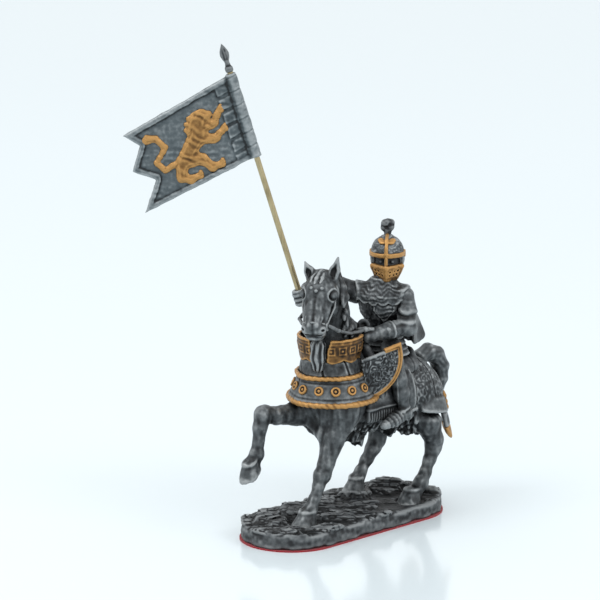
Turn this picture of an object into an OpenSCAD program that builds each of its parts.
// Mounted knight with a banner: a cast, painted tabletop figure on a round-ended rocky base.
// Millimetres. Z is up, the horse faces -Y and the horse's left side is +X.
// The origin is the centre of the underside of the felt pad.

/* [Base] */
// Length of the base, front to back
base_len = 69.4; // [60:0.2:80]
// Width of the base
base_wid = 29; // [27:0.2:40]
// Height of the base edge, felt included
base_h = 5.0; // [4:0.1:6]
// Thickness of the felt pad
felt_t = 0.4; // [0.3:0.1:1.5]

/* [Pole] */
// Diameter of the brass rod
pole_d = 1.6; // [1.2:0.1:2.0]
// Length of the rod above the centre of the fist
pole_len = 66.2; // [60:0.2:80]
// Lean of the rod from upright, in degrees
pole_tilt = 17; // [10:0.5:24]
// Compass direction of the lean, in degrees from +X
pole_azimuth = -135; // [-150:1:-120]
// Radial clearance of the rod in the hand and of the banner sleeve on the rod
fit_gap = 0.05; // [0.02:0.01:0.10]
// Depth of the socket in the hand below the centre of the fist
socket_depth = 2.2; // [1.5:0.1:2.6]
// Length of the leaf-shaped finial
finial_len = 8.2; // [6:0.1:12]

/* [Banner] */
// Height of the banner along the rod
banner_hoist = 24.4; // [18:0.2:24.6]
// Reach of the banner away from the rod
banner_fly = 35; // [26:0.5:42]
// Depth of the cuts between the three tails
tail_cut = 5.6; // [3:0.1:9]
// Sag of the banner, in mm down for each mm away from the rod
banner_droop = 0.2; // [0:0.01:0.3]
// Thickness of the banner's field
banner_t = 1.1; // [0.8:0.1:1.6]
// Thickness of the banner's raised border
rim_t = 1.7; // [1.2:0.1:2.4]
// Distance from the centre of the fist to the foot of the sleeve
sleeve_z = 41.4; // [30:0.2:41.4]
// Height of the relief on the banner
relief_h = 0.5; // [0.2:0.1:0.8]

/* [Hidden] */

// Places of the sub-assemblies
fist_at = [-9, -7.7, 65.6];
head_at = [1.4, -9.8, 72.4];
head_turn = 30;
tassel_turn = 22;
torso_at = [0, 16, 48.2];
torso_turn = 30;
helm_at = [0, 17.8, 67.8];
helm_turn = 40;

// Where the three planted hooves stand: x, y, height of the sole
left_fore_hoof = [5.2, -19.8, 4.4];
left_hind_hoof = [8, 19.4, 3.6];
right_hind_hoof = [-6, 11.2, 6.2];
peg_r = 1;
peg_gap = 0.05;

// Colours
pewter = [0.34, 0.36, 0.38];
dark_pewter = [0.22, 0.23, 0.24];
gilt = [0.80, 0.55, 0.20];
brass = [0.72, 0.62, 0.40];

// A chain is a list of [x, y, z, r] balls, joined two by two.
trunk_line = [
  [0, -3.6, 37.6, 8.6], [0, 5, 36.2, 9.4], [0, 15, 36.2, 9.6], [0, 23, 35.4, 9.2], [0, 26, 34.2, 9.0]
];
neck_line = [
  [0, -3.6, 37.6, 8.6], [0, -2, 44.6, 7.4], [0.3, -5, 53.4, 6.0], [1, -6, 62.2, 4.8], [1.3, -7.8, 69, 4.0]
];
left_fore_line = [
  [5.2, -5, 36, 4.6], [5.3, -8.8, 27.8, 3.3], [5.1, -11.8, 20.2, 2.4], [5.1, -14.4, 15.2, 1.8],
  [5.2, -16.8, 11.4, 2.0], [5.2, -18, 8.8, 1.9], [5.2, -18.8, 7.6, 2.1]
];
right_fore_line = [
  [-5, -5, 34.6, 4.6], [-5.8, -12.4, 33.2, 3.4], [-6.6, -19.4, 33.6, 2.7], [-7, -24.6, 34.8, 2.5],
  [-7.2, -25.6, 31.2, 1.9], [-7.4, -25.7, 27.2, 1.6], [-7.5, -26.3, 23.8, 2.0], [-7.7, -27.4, 21.4, 1.8]
];
left_hind_line = [
  [5.8, 23.6, 33, 4.3], [7.9, 26.2, 26.4, 3.9], [8, 29, 20, 2.7], [8, 27.8, 16, 1.9],
  [8, 25.4, 11.4, 1.8], [8, 23.6, 8.6, 2.2], [8, 21.4, 6.8, 2.3]
];
right_hind_line = [
  [-5.4, 21.8, 32.6, 4.4], [-6.2, 21.6, 25, 3.6], [-6.2, 20.2, 19, 2.6], [-6, 16.6, 15, 1.8],
  [-6, 14, 12, 1.8], [-6, 12.6, 10, 1.9]
];
tail_line = [
  [0, 29, 40.4, 2.2], [0, 33.4, 42.6, 2.4], [0, 37.6, 41.4, 2.5], [0, 39.8, 37.6, 2.3],
  [0, 39.2, 33.4, 1.9], [0, 38, 30.2, 1.1]
];
mane_lines = [
  [[1.2, -5, 72, 1.9], [0.8, -2, 66.6, 2.0], [0.4, -0.8, 60, 2.3], [0, 1, 54, 2.4], [0, 3.4, 49, 2.2]],
  [[4.2, -3.6, 68.4, 1.3], [5, -2, 63.6, 1.5], [5.4, -2.4, 58.8, 1.2]],
  [[-2.6, -3.2, 68.4, 1.3], [-4.2, -1.6, 63.6, 1.5], [-5, -1.8, 58.8, 1.2]],
  [[3.6, -1.8, 66.6, 1.5], [4.8, 0, 61, 1.5], [5, 0.2, 57.4, 1.0]]
];
rider_leg_line = [
  [5.2, 14.2, 49.4, 3.3], [10.2, 9.6, 47, 2.9], [11.4, 10.8, 41.6, 2.4], [12.2, 11.8, 34, 1.9]
];
left_arm_line = [
  [5.9, 19.0, 63.6, 2.8], [7.8, 18.0, 59.4, 2.6], [8.6, 16.4, 55.6, 2.6], [7.4, 12.2, 55.3, 2.2]
];
right_arm_line = [
  [-6.7, 12, 63.8, 3.0], [-10.4, 7.4, 65.8, 2.8], [-13, 3, 66, 2.7], [-11.6, -1.6, 65.8, 2.2]
];
left_rein_line = [
  [5.2, 3.2, 56.4], [6.4, 0, 56.6], [7.6, -4.6, 57.2], [8.2, -10, 59], [7.7, -13.4, 60.9]
];
right_rein_line = [
  [2.8, 3.8, 56.8], [-1.4, 3, 59.4], [-6.2, -1.6, 60.8], [-6.6, -8.6, 61.4], [-2.8, -14.2, 61.2],
  [1.0, -17.0, 60.9]
];

// Strokes of a rampant lion on the banner: x, y, r at each end, x away from the rod
lion_strokes = [
  [12.5, 13.4, 2.6, 18.5, 8.4, 2.1],
  [12.2, 15, 2.1, 10.8, 17.6, 2.0],
  [10.6, 17.4, 1.5, 8.2, 17.0, 0.9],
  [12.8, 18.0, 1.2, 14.6, 15.8, 1.2],
  [11.4, 14.4, 1.3, 7.4, 14.2, 1.0],
  [7.4, 14.2, 1.0, 5.0, 16.8, 1.1],
  [12.6, 12.0, 1.3, 8.2, 10.2, 1.0],
  [8.2, 10.2, 1.0, 5.4, 11.4, 1.1],
  [17.6, 8.2, 2.1, 13.2, 6.4, 1.3],
  [13.2, 6.4, 1.2, 11.2, 3.0, 0.9],
  [11.2, 3.0, 0.9, 9.0, 3.0, 0.9],
  [19.2, 7.8, 1.9, 20.4, 4.6, 1.2],
  [20.4, 4.6, 1.1, 18.0, 2.6, 0.9],
  [18.0, 2.6, 0.9, 15.8, 2.8, 0.9],
  [19.8, 8.8, 0.8, 24.2, 8.6, 0.7],
  [24.2, 8.6, 0.7, 25.8, 11.6, 0.7],
  [25.8, 11.6, 0.7, 22.4, 14.2, 0.7],
  [22.4, 14.2, 0.7, 24.2, 18.0, 0.7],
  [24.2, 18.0, 0.7, 27.2, 19.0, 1.3]
];

// ---------- shapes used by many sub-parts ----------

module ball(p, sides = 10) {
  translate([p[0], p[1], p[2]]) sphere(p[3], $fn = sides);
}

module chain(line, sides = 10) {
  for (i = [0 : len(line) - 2]) hull() {
    ball(line[i], sides);
    ball(line[i + 1], sides);
  }
}

module blob(balls, sides = 10) {
  hull() for (p = balls) ball(p, sides);
}

module strap(line, r) {
  chain([for (p = line) [p[0], p[1], p[2], r]], 6);
}

module oval(p, rx, ry, h = 0.2, sides = 28) {
  translate(p) scale([1, ry / rx, 1]) cylinder(r = rx, h = h, $fn = sides);
}

module both_sides() {
  children();
  mirror([1, 0, 0]) children();
}

module ahead_of(y) {
  translate([-30, y - 60, 0]) cube([60, 60, 120]);
}

module in_pole() translate(fist_at) rotate([0, pole_tilt, pole_azimuth]) children();
module in_banner() in_pole() translate([0, 0, sleeve_z]) children();
module in_head() translate(head_at) rotate([0, 0, head_turn]) children();
module in_torso() translate(torso_at) rotate([0, 0, torso_turn]) children();
module in_helm() translate(helm_at) rotate([0, 0, helm_turn]) children();

// ---------- base ----------

module round_ended(wid, len) {
  for (s = [1, -1]) translate([0, s * (len - wid) / 2]) circle(r = wid / 2, $fn = 48);
  square([wid, len - wid], center = true);
}

module felt_pad() color([0.75, 0.08, 0.12])
  linear_extrude(height = felt_t) round_ended(base_wid, base_len);

// One end of the base block, slightly tapered
module base_end(s) {
  translate([0, s * (base_len - base_wid) / 2, felt_t])
    cylinder(r1 = base_wid / 2 - 0.2, r2 = base_wid / 2 - 0.7, h = base_h - felt_t, $fn = 26);
}

// A flat stone slab: middle, turn, length, width, height of its top
module slab(x, y, turn, len, wid, top) {
  translate([x, y, felt_t + 1]) rotate([0, 0, turn]) hull() {
    scale([1, len / wid, 1]) cylinder(r = wid / 2, h = 0.2, $fn = 7);
    translate([0.4, -0.3, top - felt_t - 1.2]) scale([1, len / wid, 1])
      cylinder(r = wid * 0.36, h = 0.2, $fn = 6);
  }
}

module peg_hole(hoof) {
  translate([hoof[0], hoof[1], 1.8]) cylinder(r = peg_r + peg_gap, h = 9, $fn = 12);
}

module rock_base() color(dark_pewter) difference() {
  union() {
    hull() {
      base_end(1);
      base_end(-1);
    }
    slab(-3, -25, 10, 13, 13, 6.4);
    slab(-5, -14, 20, 15, 12, 6.8);
    slab(7, -26, 5, 8, 8, 5.4);
    slab(-7, -2, 0, 13, 11, 6.6);
    slab(6, -8, -10, 14, 9, 5.4);
    slab(-6, 11, 30, 13, 12, 7.2);
    slab(4, 5, 12, 16, 11, 5.6);
    slab(-4, 21, 20, 14, 14, 6.8);
    slab(6, 29, 10, 7, 9, 6.0);
    slab(-1, 30, 0, 8, 10, 5.8);
  }
  planted_hoof(left_fore_hoof, 10, 1.05);
  planted_hoof(left_hind_hoof, 12, 1.05);
  planted_hoof(right_hind_hoof, 5, 0.95);
  peg_hole(left_fore_hoof);
  peg_hole(left_hind_hoof);
  peg_hole(right_hind_hoof);
}

// ---------- horse ----------

module hoof_shape(size) hull() {
  translate([0, -0.4 * size, 0]) scale([1, 1.25, 1]) cylinder(r = 3.2 * size, h = 0.6, $fn = 12);
  translate([0, 0.6 * size, 3.6 * size]) cylinder(r = 2.1 * size, h = 0.4, $fn = 12);
}

module planted_hoof(at, turn, size) {
  translate(at) rotate([0, 0, turn]) hoof_shape(size);
}

module hoof_peg(hoof) {
  translate([hoof[0], hoof[1], 2]) cylinder(r = peg_r, h = hoof[2], $fn = 12);
}

module trunk() {
  chain(trunk_line, 16);
  chain(neck_line, 14);
}

// Shaggy folds under the girth
module belly_fur() {
  blob([[1, 1.6, 27, 3.0], [0, 5.4, 26.6, 3.2], [1, 3.4, 24.6, 1.6]], 7);
  blob([[-2, 11.4, 27.8, 3.4], [2, 17.4, 27.6, 3.6], [-3, 15.4, 25.8, 1.8]], 7);
  blob([[-4, 19.4, 28, 3.4], [4, 25, 28, 3.2], [-2, 23.2, 25.8, 1.8]], 7);
  blob([[-1, -8.4, 30.2, 3.0], [1.4, -10.4, 28.2, 1.8], [1, -3.4, 28.8, 3.2]], 7);
}

module horse_body() color(pewter) difference() {
  union() {
    trunk();
    difference() {
      belly_fur();
      left_fore_shape();
      right_fore_shape();
      left_hind_shape();
      right_hind_shape();
    }
  }
  head_shape();
}

module ear(side, height, spread) hull() {
  translate([side * 2.7, 0.6, 0.6]) sphere(1.6, $fn = 8);
  translate([side * (spread - 0.6), 0.4, height * 0.6]) sphere(1.0, $fn = 8);
  translate([side * spread, 0.2, height]) sphere(0.4, $fn = 6);
}

module head_shape() in_head() {
  blob([[0, 0.6, -1.2, 3.9], [0, -1.8, -3.4, 4.1]], 12);
  blob([[0, -1.8, -3.4, 4.1], [0, -5.4, -8.4, 3.0]], 12);
  blob([[0, -5.4, -8.4, 3.0], [0, -7.6, -12.4, 2.8]], 12);
  blob([[0, -7.6, -12.4, 2.8], [0, -6.9, -13.6, 2.2]], 10);
  blob([[1.8, -0.8, -6.8, 3.0], [-1.8, -0.8, -6.8, 3.0], [0, -5.2, -11.2, 2.0]], 10);
  blob([[3.4, -2.5, -3.4, 1.1], [-3.4, -2.5, -3.4, 1.1]], 8);
  ear(-1, 4.4, 4.8);
  ear(1, 6.0, 4.6);
}

module horse_head() color(pewter) head_shape();

module mane_shape() for (line = mane_lines) chain(line, 8);

module horse_mane() color(dark_pewter) difference() {
  mane_shape();
  trunk();
  head_shape();
  saddle_shape();
}

module horse_forelock() color(dark_pewter) difference() {
  in_head() chain([[0, -0.4, 2.4, 1.3], [-0.4, -3.4, 0.6, 1.2], [-0.6, -5.2, -2.2, 0.9]], 7);
  head_shape();
  trunk();
}

module bridle() color(dark_pewter) difference() {
  in_head() {
    strap([[3.1, -8.2, -11], [0, -10, -10.2], [-3.1, -8.2, -11]], 0.65);
    both_sides() strap([[3.1, -7.2, -11.2], [4.3, -3.4, -7], [4.3, -0.6, -1.8]], 0.65);
    both_sides() ball([3.3, -6.6, -11.7, 1.1], 8);
    strap([[3.3, -6.4, -12], [0, -4.6, -13.2], [-3.3, -6.4, -12]], 0.65);
  }
  head_shape();
  trunk();
  rein_shapes();
}

module left_fore_shape() {
  chain(left_fore_line);
  planted_hoof(left_fore_hoof, 10, 1.05);
}

module right_fore_shape() {
  chain(right_fore_line);
  translate([-7.7, -28, 18.6]) rotate([28, 0, 6]) hoof_shape(0.95);
}

module left_hind_shape() {
  chain(left_hind_line);
  planted_hoof(left_hind_hoof, 12, 1.05);
}

module right_hind_shape() {
  chain(right_hind_line);
  planted_hoof(right_hind_hoof, 5, 0.95);
}

module left_foreleg() color(pewter) {
  difference() {
    left_fore_shape();
    trunk();
  }
  hoof_peg(left_fore_hoof);
}

module right_foreleg() color(pewter) difference() {
  right_fore_shape();
  trunk();
}

module left_hind_leg() color(pewter) {
  difference() {
    left_hind_shape();
    trunk();
  }
  hoof_peg(left_hind_hoof);
}

module right_hind_leg() color(pewter) {
  difference() {
    right_hind_shape();
    trunk();
  }
  hoof_peg(right_hind_hoof);
}

module horse_tail() color(dark_pewter) difference() {
  chain(tail_line);
  trunk();
  crupper_shape();
}

// ---------- horse's chest and neck armour ----------

// A flared band round the chest with a keel in front
module chest_band(z_low, z_high, r_low, r_high, h) hull() {
  oval([0, -4.9, z_high], r_high, r_high, h);
  oval([0, -3.6, z_low], r_low, r_low - 0.3, h);
  translate([-0.3, -5.5 - r_high, z_high]) cube([0.6, 0.6, h]);
  translate([-0.3, -4.2 - r_low, z_low]) cube([0.6, 0.6, h]);
}

module peytral_shape() chest_band(38.2, 45, 12.2, 9.1, 0.7);

module peytral() color(pewter) difference() {
  intersection() {
    peytral_shape();
    ahead_of(5);
  }
  trunk();
  left_fore_shape();
  right_fore_shape();
}

module upper_band() intersection() {
  chest_band(44.7, 44.9, 9.9, 9.8, 1.2);
  ahead_of(4);
}

module lower_band() intersection() {
  chest_band(37.7, 38, 12.9, 12.7, 1.2);
  ahead_of(5);
}

module peytral_upper_trim() color(gilt) difference() {
  upper_band();
  peytral_shape();
  neck_plate_shape();
  trunk();
}

module peytral_lower_trim() color(gilt) difference() {
  lower_band();
  peytral_shape();
  trunk();
  left_fore_shape();
  right_fore_shape();
}

// The middle rosette stands further out, on the keel of the peytral
module rosette(turn) {
  reach = turn == 0 ? 11.7 : 10.75;
  translate([0, -4.2, 41.7]) rotate([0, 0, turn]) translate([0, -reach, 0]) rotate([68, 0, 0]) {
    cylinder(r = 1.4, h = 1.1, center = true, $fn = 12);
    cylinder(r = 0.6, h = 1.7, center = true, $fn = 8);
  }
}

module peytral_rosettes() color(gilt) difference() {
  for (turn = [-100 : 25 : 100]) rosette(turn);
  peytral_shape();
}

module neck_plate_shape() hull() {
  oval([0, -4.9, 45.6], 8.7, 8.7);
  oval([0, -4.9, 49.2], 8.0, 8.0);
}

module neck_plates() color(pewter) difference() {
  intersection() {
    neck_plate_shape();
    ahead_of(3.2);
  }
  trunk();
  peytral_shape();
  saddle_shape();
}

module collar_cone(inset) hull() {
  oval([0, -4.8, 49.2 - inset], 8.5 - inset, 8.5 - inset);
  oval([0, -5.2, 55.8 + inset], 9.3 - inset, 9.3 - inset);
}

// The front of the collar opens in a V, turned the way the head looks
module collar_opening() {
  translate([0, -5, 0]) rotate([0, 0, tassel_turn]) translate([0, -4, 0]) rotate([90, 0, 0])
    linear_extrude(height = 10) polygon([[-2, 46], [1.4, 46], [4.4, 60], [-2.6, 60]]);
}

module collar_scallop(turn) {
  translate([0, -4.9, 48.8]) rotate([0, 0, turn]) translate([0, -8, 0]) rotate([90, 0, 0])
    scale([1.2, 1, 1]) cylinder(r = 1.1, h = 3, center = true, $fn = 8);
}

module neck_collar() color(gilt) difference() {
  intersection() {
    collar_cone(0);
    ahead_of(0.8);
  }
  collar_cone(0.8);
  collar_opening();
  for (turn = [-105 : 30 : 105]) collar_scallop(turn);
  tassel_shape();
  trunk();
  neck_plate_shape();
  head_shape();
}

module tassel_shape() translate([0, -5, 0]) rotate([0, 0, tassel_turn]) {
  chain([[0, -8.2, 56.8, 1.5], [0, -8.6, 53.6, 2.0], [0, -8.8, 50.4, 1.9], [0, -8.7, 48.6, 1.2]], 8);
  chain([[0, -8.2, 56.8, 1.5], [0, -6, 57.2, 1.6]], 8);
}

module throat_tassel() color(pewter) difference() {
  tassel_shape();
  trunk();
  neck_plate_shape();
  head_shape();
  peytral_shape();
}

// ---------- saddle and cloth ----------

module saddle_shape() {
  hull() both_sides() {
    ball([5.2, 7.6, 43, 3.0], 8);
    ball([5.2, 21.6, 42.6, 3.0], 8);
    ball([1, 14.6, 45, 2.6], 8);
  }
  hull() both_sides() {
    ball([5.8, 6, 46.4, 2.0], 8);
    ball([3.6, 5, 51.4, 1.5], 8);
  }
  hull() both_sides() {
    ball([4.6, 23, 44.4, 1.8], 8);
    ball([3.2, 23.8, 47, 1.1], 8);
  }
}

module saddle() color(dark_pewter) difference() {
  saddle_shape();
  trunk();
  peytral_shape();
  cloth_shape();
}

module cloth_shape() both_sides() hull() {
  ball([8.2, 2, 41, 1.2], 8);
  ball([8.2, 15.6, 41, 1.2], 8);
  ball([10.2, 0, 35, 0.9], 8);
  ball([10.2, 14.6, 35, 0.9], 8);
  ball([10.4, -0.2, 32, 0.9], 8);
  ball([10.4, 12.6, 31.2, 0.9], 8);
}

module saddle_cloth() color(dark_pewter) difference() {
  cloth_shape();
  trunk();
  left_fore_shape();
  right_fore_shape();
  peytral_shape();
  lower_band();
  both_sides() for (y = [0 : 2 : 12]) translate([11.3, y, 30]) cylinder(r = 0.45, h = 2.6, $fn = 5);
}

// The guard in front of each thigh: a shield that curves away below, seen from outside
function bow_outline(g) = concat(
  [[-5.6 + g, 0.4 - g], [5.6 - g, 1.6 - g]],
  [for (a = [0 : 15 : 90]) [-5.6 + g + (12 - 2 * g) * cos(a), -0.8 - (11.4 - 1.4 * g) * sin(a)]]
);

module in_bow() translate([11.2, 3.2, 50.4]) rotate([4, -10, 63.4]) rotate([90, 0, 0]) children();

module bow_sheet(t, g) in_bow() linear_extrude(height = t, center = true) polygon(bow_outline(g));

module bow_plate_shape() bow_sheet(1.0, 0.9);

module bow_rim_shape() difference() {
  bow_sheet(1.6, 0);
  bow_sheet(3, 0.95);
  in_bow() translate([-11.6, -20, -4]) cube([7, 25, 8]);
  in_bow() translate([-5, -3, -4]) cube([6.4, 8, 8]);
}

module bow_neighbours() {
  saddle_shape();
  cloth_shape();
  trunk();
  peytral_shape();
  upper_band();
  lower_band();
}

module left_bow_plate() color(pewter) difference() {
  bow_plate_shape();
  bow_neighbours();
}

module right_bow_plate() mirror([1, 0, 0]) left_bow_plate();

module left_bow_rim() color(gilt) difference() {
  bow_rim_shape();
  bow_neighbours();
  bow_plate_shape();
}

module right_bow_rim() mirror([1, 0, 0]) left_bow_rim();

// ---------- rump armour ----------

module below(z) translate([-40, -40, z - 60]) cube([80, 120, 60]);

module in_skirt() translate([0, 26, 31.6]) rotate([-11, 0, 0]) children();

module skirt_cone(grow) in_skirt() hull() {
  oval([0, 0, 2 + grow], 10.2 + grow, 10.4 + grow);
  oval([0, 0.4, -2 - grow], 11.4 + grow, 11.8 + grow);
}

module skirt_hollow() in_skirt() hull() {
  oval([0, 0, 3.6], 9.1, 9.3);
  oval([0, 0.4, -2.6], 10.4, 10.8);
}

// Where the gilt ends of the skirt sit, either side of the tail
module skirt_end_zone() both_sides() translate([3.6, 31, 20]) cube([3, 20, 30]);

module skirt_end_shape() both_sides()
  blob([[4.2, 35.8, 32.4, 0.8], [6, 34.9, 32.4, 0.8], [4.2, 37, 27.6, 0.8], [6, 36.2, 27.6, 0.8]], 8);

module crupper_shape() difference() {
  union() {
    difference() {
      blob([[0, 24.4, 34.4, 10.6], [0, 26.4, 32.8, 9.9]], 18);
      ahead_of(20);
      below(31);
    }
    difference() {
      skirt_cone(0);
      ahead_of(21.4);
      skirt_hollow();
      skirt_end_zone();
    }
  }
  skirt_end_shape();
}

module crupper() color(pewter) difference() {
  crupper_shape();
  trunk();
  saddle_shape();
  cloth_shape();
  left_hind_shape();
  right_hind_shape();
}

module crupper_trim() color(gilt) skirt_end_shape();

// Cloth that hangs behind the thighs
module drape_shape() both_sides() hull() {
  ball([8.2, 32.2, 30.2, 0.7], 8);
  ball([4.9, 35.5, 30.6, 0.7], 8);
  ball([9, 33.4, 22.6, 0.6], 8);
  ball([4.8, 36.8, 22.6, 0.6], 8);
  ball([7.2, 36.8, 19.4, 0.5], 8);
}

module drape_tip_zone() both_sides() translate([2, 28, 15]) rotate([0, 20, 0]) cube([12, 14, 10]);

module rear_drape() color(pewter) difference() {
  drape_shape();
  drape_tip_zone();
  left_hind_shape();
  right_hind_shape();
  skirt_cone(0.6);
  skirt_end_shape();
  trunk();
  chain(tail_line);
}

module drape_trim() color(gilt) difference() {
  intersection() {
    drape_shape();
    drape_tip_zone();
  }
  left_hind_shape();
  right_hind_shape();
}

// ---------- rider ----------

module torso_shape() in_torso() {
  blob([[1.8, 0, 1.4, 4.2], [-1.8, 0, 1.4, 4.2], [0.8, -0.2, 6.6, 4.0], [-0.8, -0.2, 6.6, 4.0]], 12);
  blob([[0.8, -0.2, 6.6, 4.0], [-0.8, -0.2, 6.6, 4.0], [2.6, -0.2, 12.6, 4.4], [-2.6, -0.2, 12.6, 4.4]], 12);
  blob([[2.6, -0.2, 12.6, 4.4], [-2.6, -0.2, 12.6, 4.4], [5.2, 0.2, 15.2, 2.8], [-5.2, 0.2, 15.2, 2.8]], 12);
  blob([[3, 0.2, 15.6, 3.0], [-3, 0.2, 15.6, 3.0], [0, 0, 18.0, 2.6]], 10);
}

module rider_body() color(dark_pewter) difference() {
  torso_shape();
  saddle_shape();
  trunk();
  head_core();
  helm_shape();
  visor_shape();
}

module skirt_shape() in_torso() hull() {
  oval([0, 0, 4.8], 5.2, 4.9, 0.2, 20);
  oval([0.4, 0.6, -1.6], 7.6, 6.0, 0.2, 20);
}

module rider_skirt() color(pewter) difference() {
  skirt_shape();
  torso_shape();
  saddle_shape();
  trunk();
  crupper_shape();
}

module mantle_scallop(turn) {
  rotate([0, 0, turn]) translate([0, -5.9, 13]) scale([1.35, 1, 1]) sphere(1.2, $fn = 6);
}

module mantle_shape() in_torso() {
  difference() {
    union() {
      hull() {
        oval([0, 0, 18.6], 3.0, 3.0, 0.2, 16);
        oval([0, 0, 13.8], 7.4, 5.4, 1.6, 20);
      }
      oval([0, 0, 18.7], 3.1, 3.1, 1.9, 16);
    }
    for (turn = [0 : 30 : 330]) mantle_scallop(turn);
  }
  // pointed mail panel on the chest
  hull() {
    translate([-3.6, -4.4, 14.6]) cube([7.2, 1.2, 0.2]);
    translate([-2.4, -5.0, 11.4]) cube([4.8, 0.8, 0.2]);
    translate([-0.4, -4.7, 8.6]) cube([0.8, 0.7, 0.2]);
  }
}

module mail_mantle() color(dark_pewter) difference() {
  mantle_shape();
  torso_shape();
  chain(left_arm_line);
  chain(right_arm_line);
  head_core();
  helm_shape();
  visor_shape();
}

module leg_and_foot() {
  chain(rider_leg_line);
  blob([[12.4, 14, 31.6, 1.6], [12.2, 11.8, 33.6, 1.9], [12.6, 7.8, 31, 1.8]], 8);
  blob([[12.6, 7.8, 31, 1.8], [12.7, 3.2, 30.4, 1.1]], 8);
  strap([[12.4, 14.8, 32.2], [12.6, 16.8, 32.6]], 0.5);
}

module leg_neighbours() {
  trunk();
  saddle_shape();
  cloth_shape();
  peytral_shape();
  crupper_shape();
  bow_plate_shape();
  bow_rim_shape();
}

module rider_left_leg() color(pewter) difference() {
  leg_and_foot();
  leg_neighbours();
  torso_shape();
  skirt_shape();
}

module rider_right_leg() color(pewter) difference() {
  mirror([1, 0, 0]) difference() {
    leg_and_foot();
    leg_neighbours();
  }
  torso_shape();
  skirt_shape();
}

module left_arm() color(pewter) difference() {
  chain(left_arm_line);
  torso_shape();
  left_glove_shape();
}

module right_arm() color(pewter) difference() {
  chain(right_arm_line);
  torso_shape();
  right_cuff_shape();
}

module left_glove_shape() {
  chain([[7.1, 10.8, 55.2, 2.5], [6, 6.6, 54.4, 2.0], [4.8, 4.2, 54.4, 2.2]], 8);
  chain([[3.4, 3, 55.6, 1.2], [5.4, 2.4, 55.6, 1.1]], 7);
  chain([[3.2, 3.4, 53.2, 1.1], [5.2, 2.4, 53, 1.0]], 7);
}

module left_gauntlet() color(pewter) difference() {
  left_glove_shape();
  saddle_shape();
  rein_shapes();
}

module right_cuff_shape() chain([[-11.5, -1.8, 65.8, 2.6], [-10.4, -4.8, 65.6, 1.9]], 10);

module right_gauntlet() color(pewter) difference() {
  union() {
    right_cuff_shape();
    in_pole() translate([0, 0, -3]) cylinder(r = 2.35, h = 5.2);
    in_pole() translate([0, 0, -3.6]) cylinder(r1 = 1.4, r2 = 2.35, h = 0.61);
  }
  in_pole() translate([0, 0, -socket_depth]) cylinder(r = pole_d / 2 + fit_gap, h = 12);
}

module cape_shape() {
  blob([[-5.4, 16, 64.6, 1.2], [4.4, 21.8, 64.6, 1.2], [-5, 20.6, 57.4, 1.0], [3.8, 23.8, 57.4, 1.0]], 8);
  blob([
    [-5, 20.6, 57.4, 1.0], [3.8, 23.8, 57.4, 1.0], [-3, 26.4, 50.6, 0.9], [3.4, 29, 50.2, 1.1],
    [6, 22, 50.2, 1.0]
  ], 8);
}

module cape() color(dark_pewter) difference() {
  cape_shape();
  torso_shape();
  mantle_shape();
  skirt_shape();
  chain(left_arm_line);
  chain(right_arm_line);
  crupper_shape();
  saddle_shape();
  trunk();
  helm_shape();
  visor_shape();
  head_core();
}

// ---------- head and helmet ----------

eye_low = 4.3;
eye_high = 6.9;

module head_core() in_helm() {
  blob([[0, 0.2, 7.2, 3.7], [0, -0.4, 4.2, 3.2], [0, -1.0, 2.2, 2.2]], 10);
  blob([[0, 0.4, 3, 2.4], [0, 0.8, -3, 2.2]], 8);
}

module rider_head() color(dark_pewter) head_core();

module helm_shape() in_helm() difference() {
  blob([[0, 0.3, 7.9, 4.6], [0, 0.6, 5.4, 4.5], [0, 1.2, 3.2, 3.9], [0, 0.3, 11.2, 1.6]], 14);
  translate([-6, -8, -4]) cube([12, 7, eye_high + 4]);
}

module helmet() color(pewter) difference() {
  helm_shape();
  head_core();
  visor_shape();
  brow_shape();
}

module visor_shape() in_helm() {
  hull() both_sides() {
    ball([4.1, -1.1, eye_low - 0.3, 0.7], 8);
    ball([0.1, -5.1, eye_low - 0.2, 0.5], 8);
    ball([0.1, -4.2, 0.6, 0.6], 8);
    ball([2.6, -1.6, 0.8, 0.7], 8);
  }
  chain([[0, -4.5, eye_low, 0.45], [0, -4.7, eye_high + 0.4, 0.4]], 6);
}

module brow_shape() in_helm() {
  difference() {
    hull() oval([0, 0.3, eye_high], 4.9, 5.2, 1.1, 24);
    hull() oval([0, 0.3, eye_high - 1], 4.3, 4.4, 4, 24);
    translate([-8, 1.4, 0]) cube([16, 12, 20]);
  }
  both_sides() hull() translate([4.2, 0.9, eye_high + 0.4]) rotate([0, 90, 0])
    cylinder(r = 1.1, h = 0.8, $fn = 10);
  // strip over the crown
  strap([[0, -4.7, 7.6], [0, -4.3, 9.6], [0, -3, 11.6], [0, -1, 12.6], [0, 0.8, 12.8]], 0.5);
}

module helmet_visor() color(gilt) difference() {
  visor_shape();
  head_core();
  brow_shape();
}

module helmet_brow() color(gilt) difference() {
  brow_shape();
  head_core();
}

module helmet_crest() color(dark_pewter) difference() {
  in_helm() {
    chain([[0, 0.4, 12, 1.0], [0, 0.5, 13.8, 1.5]], 8);
    blob([[-0.8, 0.5, 15.2, 1.2], [0.9, 0.5, 15.4, 1.2], [0.2, 0.2, 16.2, 1.0]], 8);
  }
  helm_shape();
  brow_shape();
}

// ---------- reins ----------

module rein_shapes() {
  strap(left_rein_line, 0.6);
  strap(right_rein_line, 0.6);
}

module left_rein() color(dark_pewter) difference() {
  strap(left_rein_line, 0.6);
  trunk();
  head_shape();
  mane_shape();
}

module right_rein() color(dark_pewter) difference() {
  strap(right_rein_line, 0.6);
  trunk();
  head_shape();
  mane_shape();
  strap(left_rein_line, 0.6);
}

// ---------- pole and banner ----------

module banner_pole() color(brass) in_pole() translate([0, 0, -socket_depth])
  cylinder(r = pole_d / 2, h = pole_len + socket_depth);

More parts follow.
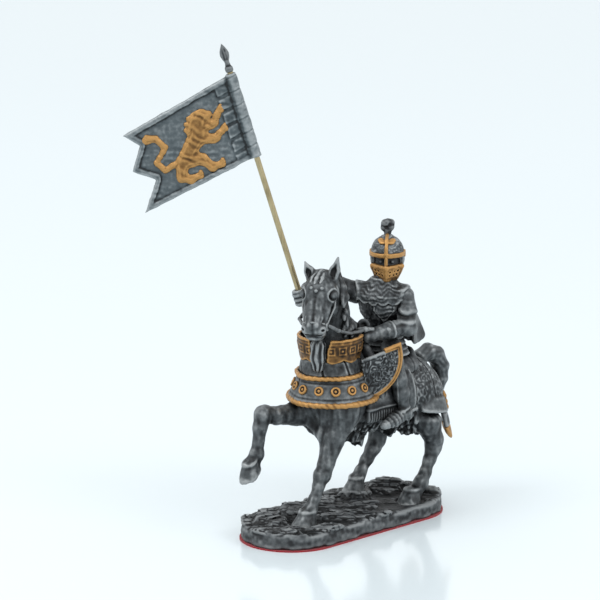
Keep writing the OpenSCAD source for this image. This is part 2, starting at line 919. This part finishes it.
module pole_finial() color(pewter) in_pole() translate([0, 0, pole_len]) {
  cylinder(r = 1.25, h = 1.6);
  translate([0, 0, 1.6]) cylinder(r1 = 1.1, r2 = 0.7, h = 0.8);
  hull() {
    translate([0, 0, 2.2]) cylinder(r = 0.6, h = 0.2, $fn = 8);
    translate([-1.1, -0.4, 4.4]) cube([2.2, 0.8, 0.8]);
    translate([0, 0, finial_len - 0.35]) sphere(0.35, $fn = 6);
  }
}

// A point of the banner: u away from the rod, v along it, let down by the sag
function sag(u, v) = [u, v - banner_droop * u];

module banner_outline(g) polygon([
  sag(0.2, g),
  sag(banner_fly - 2.2 * g, g + 0.2),
  sag(banner_fly - tail_cut - 0.8 - g, banner_hoist * 0.31),
  sag(banner_fly - 0.5 - 2.2 * g, banner_hoist * 0.52),
  sag(banner_fly - tail_cut + 0.6 - g, banner_hoist * 0.75),
  sag(banner_fly - 0.8 - 2.2 * g, banner_hoist * 0.96 - g),
  sag(0.2, banner_hoist - g)
]);

module banner_sheet(t) rotate([90, 0, 0]) linear_extrude(height = t, center = true) children();

module banner() color(pewter) in_banner() difference() {
  union() {
    cylinder(r = 1.55, h = banner_hoist);
    banner_sheet(banner_t) banner_outline(0);
    banner_sheet(rim_t) difference() {
      banner_outline(0);
      banner_outline(1.3);
    }
  }
  translate([0, 0, -1]) cylinder(r = pole_d / 2 + fit_gap, h = banner_hoist + 2);
}

module lion() for (s = lion_strokes) hull() {
  translate(sag(s[0], s[1])) circle(s[2], $fn = 12);
  translate(sag(s[3], s[4])) circle(s[5], $fn = 12);
}

module banner_emblem() color(gilt) in_banner() for (side = [0, 1]) mirror([0, side, 0])
  translate([1, -banner_t / 2, 0]) rotate([90, 0, 0]) linear_extrude(height = relief_h) lion();

// ---------- assembly ----------

felt_pad();
rock_base();
horse_body();
horse_head();
horse_mane();
horse_forelock();
bridle();
left_foreleg();
right_foreleg();
left_hind_leg();
right_hind_leg();
horse_tail();
neck_plates();
neck_collar();
throat_tassel();
peytral();
peytral_upper_trim();
peytral_lower_trim();
peytral_rosettes();
saddle();
saddle_cloth();
left_bow_plate();
right_bow_plate();
left_bow_rim();
right_bow_rim();
crupper();
crupper_trim();
rear_drape();
drape_trim();
left_rein();
right_rein();
rider_body();
rider_skirt();
mail_mantle();
rider_left_leg();
rider_right_leg();
left_arm();
right_arm();
left_gauntlet();
right_gauntlet();
cape();
rider_head();
helmet();
helmet_visor();
helmet_brow();
helmet_crest();
banner_pole();
pole_finial();
banner();
banner_emblem();
